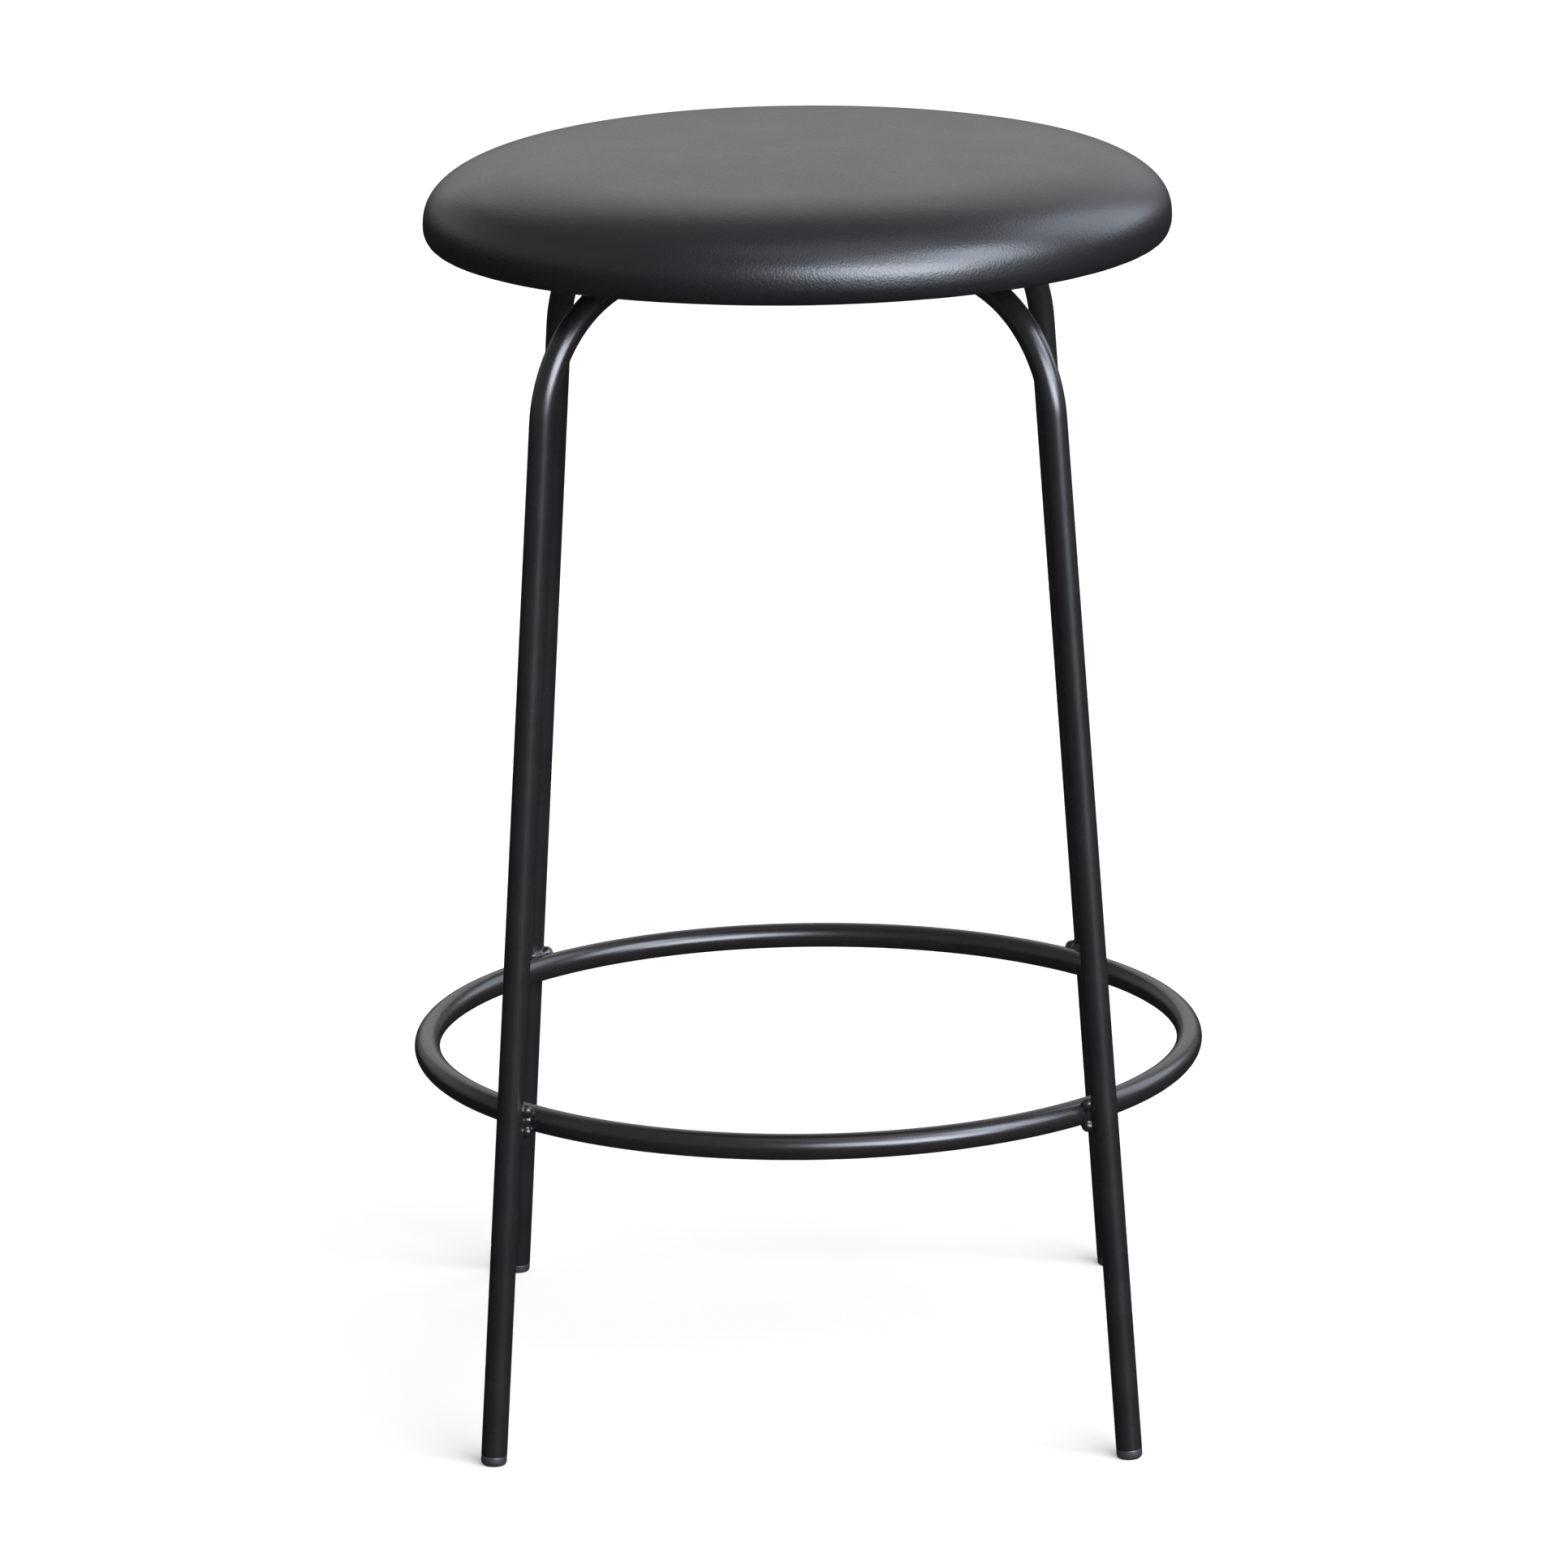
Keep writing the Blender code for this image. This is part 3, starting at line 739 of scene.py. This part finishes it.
def pleats(count, seed):
    """The directions of the gathers under the seat, unevenly spaced, each with its own depth."""
    chance = random.Random(seed)
    made = []
    for i in range(count):
        turn = 2 * math.pi * (i + chance.uniform(-0.28, 0.28)) / count
        made.append((turn, chance.uniform(0.55, 1.0), chance.uniform(0.8, 1.25)))
    return made


def pleat_depth(turn, made, width):
    """How deep the gathers are in a direction, from 0 to 1, as narrow creases with soft sides."""
    deep = 0.0
    for at, depth, wide in made:
        away = abs((turn - at + math.pi) % (2 * math.pi) - math.pi) / (width * wide)
        if away < 1:
            deep = max(deep, depth * (1 - away) ** 2 * (1 + 2 * away))
    return deep


def settled(obj, held, rows, most):
    """Cloth blown up from inside while it is held at its staples and gathers.

    What stays is the unevenness: each row's mean travel is taken off, so that the outline keeps its size,
    and no point moves further than most.
    """
    scene = bpy.context.scene
    start = [v.co.copy() for v in obj.data.vertices]
    normals = [v.normal.copy() for v in obj.data.vertices]
    obj.vertex_groups.new(name="stapled").add(held, 1.0, "REPLACE")
    cloth = obj.modifiers.new("stretched", "CLOTH")
    settings = cloth.settings
    settings.quality = 5
    settings.mass = 0.4
    settings.tension_stiffness = settings.compression_stiffness = 25
    settings.bending_stiffness = 3
    settings.use_pressure = True
    settings.uniform_pressure_force = 4
    settings.effector_weights.gravity = 0
    settings.vertex_group_mass = "stapled"
    for frame_number in range(1, 21):
        scene.frame_set(frame_number)
    baked(obj)
    scene.frame_set(1)
    obj.vertex_groups.clear()
    travel = [(v.co - at).dot(normal) for v, at, normal in zip(obj.data.vertices, start, normals)]
    for row in rows:
        mean = sum(travel[i] for i in row) / len(row)
        for i in row:
            moved = max(-most, min(most, travel[i] - mean))
            obj.data.vertices[i].co = start[i] + normals[i] * moved


def pucker_depth(turn, up):
    """How deep the fine creases are that the leather drew into where its last gathers were pulled tight."""
    deep = 0.0
    for at, low, high, depth in PUCKERS:
        wander = 0.006 * math.sin(up / (2.5 * MM))
        away = abs((turn - at - wander + math.pi) % (2 * math.pi) - math.pi)
        share = (up - low) / (high - low)
        if away < PUCKER_HALF and 0 < share < 1:
            deep = max(deep, depth * (1 - away / PUCKER_HALF) ** 2 * math.sin(math.pi * share))
    return deep


def cover_turns():
    """The directions of the cover's columns, closer together at its puckers."""
    fine = [math.radians(-24 + 0.4 * k) for k in range(31)]
    turns = sorted({t % (2 * math.pi) for t in fine + round_turns(SEAT_STEPS)})
    return [t for i, t in enumerate(turns) if i == 0 or t - turns[i - 1] > 1e-4]


def make_cover(skin):
    """The leather cover: drawn in a little by its gathers, with its hem pleated and flat under the base."""
    turns = cover_turns()
    steps = len(turns)
    profile = cover_profile()
    points, faces = turned(profile, turns)
    gathers = pleats(GATHERS, 5)
    low_r = SEAT_R - LOW_IN
    first_under = next(i for i, (r, z) in enumerate(profile) if z <= seat_low.z + 0.2 * MM)
    held = []
    for i, p in enumerate(points):
        row = i // steps
        r, z = profile[row]
        turn = turns[i % steps]
        outward = Vector((math.cos(turn), math.sin(turn), 0))
        wave = noise.noise(Vector((p.x * 11, p.y * 11, p.z * 20 + 3.1)))
        if row <= first_under:
            edge = min(1.0, max(0.0, (r - 0.10) / 0.08))
            p += outward * (0.5 * MM * wave * edge)
            p.z += 0.3 * MM * wave
            low = max(0.0, 1 - (z - seat_low.z) / (14 * MM)) if r > low_r - 1e-6 else 0.0
            crease = pleat_depth(turn, gathers, 0.035)
            p -= outward * (0.30 * MM * low * low * crease + pucker_depth(turn, z - seat_low.z))
        else:
            inward = min(1.0, (low_r - r) / (12 * MM))
            crease = pleat_depth(turn, gathers, 0.045 * (0.5 + 0.5 * inward))
            p.z += (0.55 * crease - 0.12 * (0.5 + 0.5 * wave)) * inward * MM
        on_base = r < HEM_FLAT_R and row > first_under
        in_gather = row > first_under - 3 and crease > 0.5
        if on_base or in_gather:
            held.append(i)
    cover = put("seat_cover_leather", mesh_of("seat_cover_leather", points, faces), skin)
    rows = [range(row * steps, (row + 1) * steps) for row in range(1, len(profile))]
    settled(cover, held, rows, MOST_TRAVEL)
    welded(cover.data, 1e-5)
    thick = cover.modifiers.new("thickness", "SOLIDIFY")
    thick.thickness = LEATHER_THICK
    thick.offset = -1
    finer = cover.modifiers.new("finer", "SUBSURF")
    finer.levels = finer.render_levels = 1
    baked(cover)
    cover.data.shade_smooth()
    belongs(cover, "leather", "seat_cover")


def make_foam(material):
    """The foam pad inside the cover, with its skirt round the edge of the base."""
    depth = LEATHER_THICK + FOAM_GAP
    profile = []
    outline = [p for p in cover_profile() if p[1] > SEAT_WIDEST_Z - 1.0 * MM][:56]
    for i, (r, z) in enumerate(outline):
        before, after = outline[max(i - 1, 0)], outline[min(i + 1, len(outline) - 1)]
        run = Vector((after[0] - before[0], after[1] - before[1])).normalized()
        profile.append((max(0.0, r + run.y * depth), z - run.x * depth))
    base_r = base_high.x + 0.3 * MM
    profile += [(profile[-1][0] - 0.4 * MM, SEAT_WIDEST_Z - 1.2 * MM), (base_r, SEAT_WIDEST_Z - 1.2 * MM)]
    profile += [(base_r, base_high.z + 0.3 * MM), (0, base_high.z + 0.3 * MM)]
    points, faces = turned(profile, round_turns(160))
    for p in points:
        p.z += 0.3 * MM * noise.noise(p * 40) if p.z > base_high.z + 2 * MM else 0
    pad = put("foam_pad_moulded", welded(mesh_of("foam_pad_moulded", points, faces), 1e-5), material)
    pad.data.set_sharp_from_angle(angle=math.radians(50))
    belongs(pad, "foam", "foam_pad")


def make_dust_cover(cloth):
    """A disc of thin cloth, flat against the base, stepped over the hem and a little ragged at its edge."""
    low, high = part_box("dust_cover")
    disc_r = high.x
    rings, steps = 46, 240
    holes = [along(angle, SCREW_OUT, 0, SCREW_ASIDE).to_2d() for angle in CORNERS.values()]
    points = []
    for i in range(rings + 1):
        r = disc_r * i / rings
        for k in range(steps):
            turn = 2 * math.pi * k / steps
            ragged = 1 + (0.006 * noise.noise(Vector((turn * 5, 0, 7))) if i == rings else 0)
            x, y = r * ragged * math.cos(turn), r * ragged * math.sin(turn)
            z = low.z + 0.2 * MM
            if r < CLOTH_STEP_R:
                fall = min(1.0, (CLOTH_STEP_R - r) / CLOTH_STEP)
                z += (high.z - low.z - 0.6 * MM) * fall * fall * (3 - 2 * fall)
            z += 0.12 * MM * noise.noise(Vector((x * 45, y * 45, 1)))
            points.append(Vector((x, y, z)))
    faces = grid_faces(rings + 1, steps)
    kept = []
    for face in faces:
        centre = sum((points[v] for v in face), Vector()) / 4
        if all((centre.to_2d() - hole).length > SCREW_HOLE_R for hole in holes):
            kept.append(face)
    mesh = welded(mesh_of("dust_cover_cloth", points, kept), 1e-5)
    cover = put("dust_cover_cloth", mesh, cloth)
    thick = cover.modifiers.new("thickness", "SOLIDIFY")
    thick.thickness = CLOTH_THICK
    thick.offset = 0
    baked(cover)
    cover.data.shade_smooth()
    belongs(cover, "dust_cloth", "dust_cover")


def make_staples(steel):
    """Wire staples round the dust cover, each lying along the edge with a little turn of its own."""
    low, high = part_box("dust_cover")
    chance = random.Random(11)
    shapes = []
    for i in range(STAPLES):
        turn = 2 * math.pi * (i + chance.uniform(-0.15, 0.15)) / STAPLES
        middle = Vector((math.cos(turn), math.sin(turn), 0)) * (high.x - STAPLE_IN)
        skew = turn + math.pi / 2 + chance.uniform(-0.25, 0.25)
        ahead = Vector((math.cos(skew), math.sin(skew), 0))
        z = low.z - 0.15 * MM
        line = []
        for side in (-1, 1):
            leg = []
            for up, short in STAPLE_LEG:
                leg.append(middle + ahead * side * (STAPLE_HALF - short) + Vector((0, 0, z + up)))
            line += leg if side < 0 else leg[::-1]
        shapes.append(capped(*sweep(line, STAPLE_R, STAPLE_SIDES), STAPLE_SIDES))
    staples = put("dust_cover_staples", joined("dust_cover_staples", shapes), steel)
    belongs(staples, "zinc_steel")


def make_screw(corner, steel):
    """A button-head screw with a hex socket and rolled thread."""
    low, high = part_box(f"seat_screw_{corner}")
    middle = (low + high) / 2
    head_r = (high.x - low.x) / 2
    head_low = low.z
    head_h = 3.2 * MM
    shank_r = 3.0 * MM
    head_top = head_low + head_h
    profile = [(0, high.z), (shank_r * 0.72, high.z)]
    pitch = 1.0 * MM
    z = high.z - 0.7 * MM
    while z > head_top + 1.4 * MM:
        profile += [(shank_r, z), (shank_r * 0.84, z - pitch / 2)]
        z -= pitch
    neck_r = shank_r * 0.92
    profile += [(neck_r, head_top + 0.6 * MM), (neck_r, head_top), (head_r - 0.2 * MM, head_top)]
    for step in range(13):
        turn = math.pi / 2 * (step + 0.4) / 12.4
        flat = 3.1 * MM
        profile.append((flat + (head_r - flat) * math.cos(turn), head_top - head_h * math.sin(turn)))
    steps = 48
    hex_r, depth = 2.3 * MM, 1.9 * MM
    points, faces = turned(profile, round_turns(steps))
    count = len(points)
    for z in (head_low, head_low + depth):
        for k in range(steps):
            turn = 2 * math.pi * k / steps
            sector = (turn + math.pi / 6) % (math.pi / 3) - math.pi / 6
            r = hex_r * math.cos(math.pi / 6) / math.cos(sector)
            points.append(Vector((r * math.cos(turn), r * math.sin(turn), z)))
    last = count - steps
    for first, second in ((last, count), (count, count + steps)):
        for k in range(steps):
            after = (k + 1) % steps
            faces.append((first + k, first + after, second + after, second + k))
    points.append(Vector((0, 0, head_low + depth + 0.5 * MM)))
    for k in range(steps):
        faces.append((count + steps + k, count + steps + (k + 1) % steps, len(points) - 1))
    shift = Vector((middle.x, middle.y, 0))
    points = [p + shift for p in points]
    name = f"seat_screw_{corner}_button_head"
    screw = put(name, welded(mesh_of(name, points, faces)), steel)
    screw.data.set_sharp_from_angle(angle=math.radians(32))
    belongs(screw, "zinc_steel", f"seat_screw_{corner}")


# Carried-over nodes


def dress(node, material):
    """Gives a CAD node that stays as it is its own material."""
    obj = frame["nodes"][node]
    obj.data.materials.clear()
    obj.data.materials.append(material)


# Studio


def panel(name, turn, elevation, width, height, power, colour):
    """A soft panel aimed at the middle of the object."""
    turn, elevation = math.radians(turn), math.radians(elevation)
    level = math.cos(elevation)
    away = Vector((math.sin(turn) * level, -math.cos(turn) * level, math.sin(elevation)))
    data = bpy.data.lights.new(name, "AREA")
    data.shape = "RECTANGLE"
    data.size, data.size_y = width, height
    data.energy = power
    data.color = colour
    light = bpy.data.objects.new(name, data)
    light.location = STUDIO_MIDDLE + away * STUDIO_DISTANCE
    light.rotation_mode = "QUATERNION"
    light.rotation_quaternion = (-away).to_track_quat("-Z", "Y")
    light.visible_camera = False
    bpy.context.scene.collection.objects.link(light)


def studio_world():
    """Even light from above the horizon and very little from below it."""
    world = bpy.data.worlds.new("studio")
    world.use_nodes = True
    nodes, links = world.node_tree.nodes, world.node_tree.links
    place = nodes.new("ShaderNodeTexCoord").outputs["Generated"]
    split = nodes.new("ShaderNodeSeparateXYZ")
    rise = nodes.new("ShaderNodeMapRange")
    rise.inputs["From Min"].default_value = -0.05
    rise.inputs["From Max"].default_value = 0.05
    rise.inputs["To Min"].default_value = BELOW_STRENGTH
    rise.inputs["To Max"].default_value = SKY_STRENGTH
    links.new(place, split.inputs[0])
    links.new(split.outputs[2], rise.inputs["Value"])
    links.new(rise.outputs[0], nodes["Background"].inputs["Strength"])
    nodes["Background"].inputs["Color"].default_value = (1, 1, 1, 1)
    bpy.context.scene.world = world


def make_studio():
    studio_world()
    for name, facts in PANELS.items():
        panel(name, *facts)
    corners = [(x * FLOOR_HALF, y * FLOOR_HALF, 0) for x, y in ((-1, -1), (1, -1), (1, 1), (-1, 1))]
    floor = put("studio_floor", mesh_of("studio_floor", corners, [(0, 1, 2, 3)]), pale_floor(), False)
    floor.visible_glossy = False


def make_camera():
    data = bpy.data.cameras.new("camera")
    data.lens = CAMERA_LENS
    data.clip_end = 100
    camera = bpy.data.objects.new("camera", data)
    bpy.context.scene.collection.objects.link(camera)
    tilt = Matrix.Rotation(math.pi / 2 - CAMERA_DOWN, 4, "X")
    roll = Matrix.Rotation(CAMERA_ROLL, 4, "Z")
    camera.matrix_world = (
        Matrix.Translation(CAMERA_PLACE) @ Matrix.Rotation(CAMERA_LEFT, 4, "Z") @ tilt @ roll
    )
    bpy.context.scene.camera = camera


def main():
    bpy.context.scene.view_settings.view_transform = "Standard"
    make_camera()
    make_studio()
    coat, steel, skin = powder_coat(), zinc_steel(), leather()
    plastic = glide_plastic()
    make_leg_loop(coat)
    make_ring(coat)
    for corner in ("front_right", "rear_left"):
        make_angled_leg(corner, coat)
        make_middle_weld(corner, coat)
    for corner in CORNERS:
        make_footrest_weld(corner, coat)
        make_tab_weld(corner, coat)
        make_screw(corner, steel)
        make_glide(corner, plastic)
        dress(f"mounting_tab_{corner}", coat)
        dress(f"tee_nut_{corner}", steel)
    dress("seat_base", plywood())
    make_foam(foam())
    make_cover(skin)
    make_dust_cover(dust_cloth())
    make_staples(steel)


main()
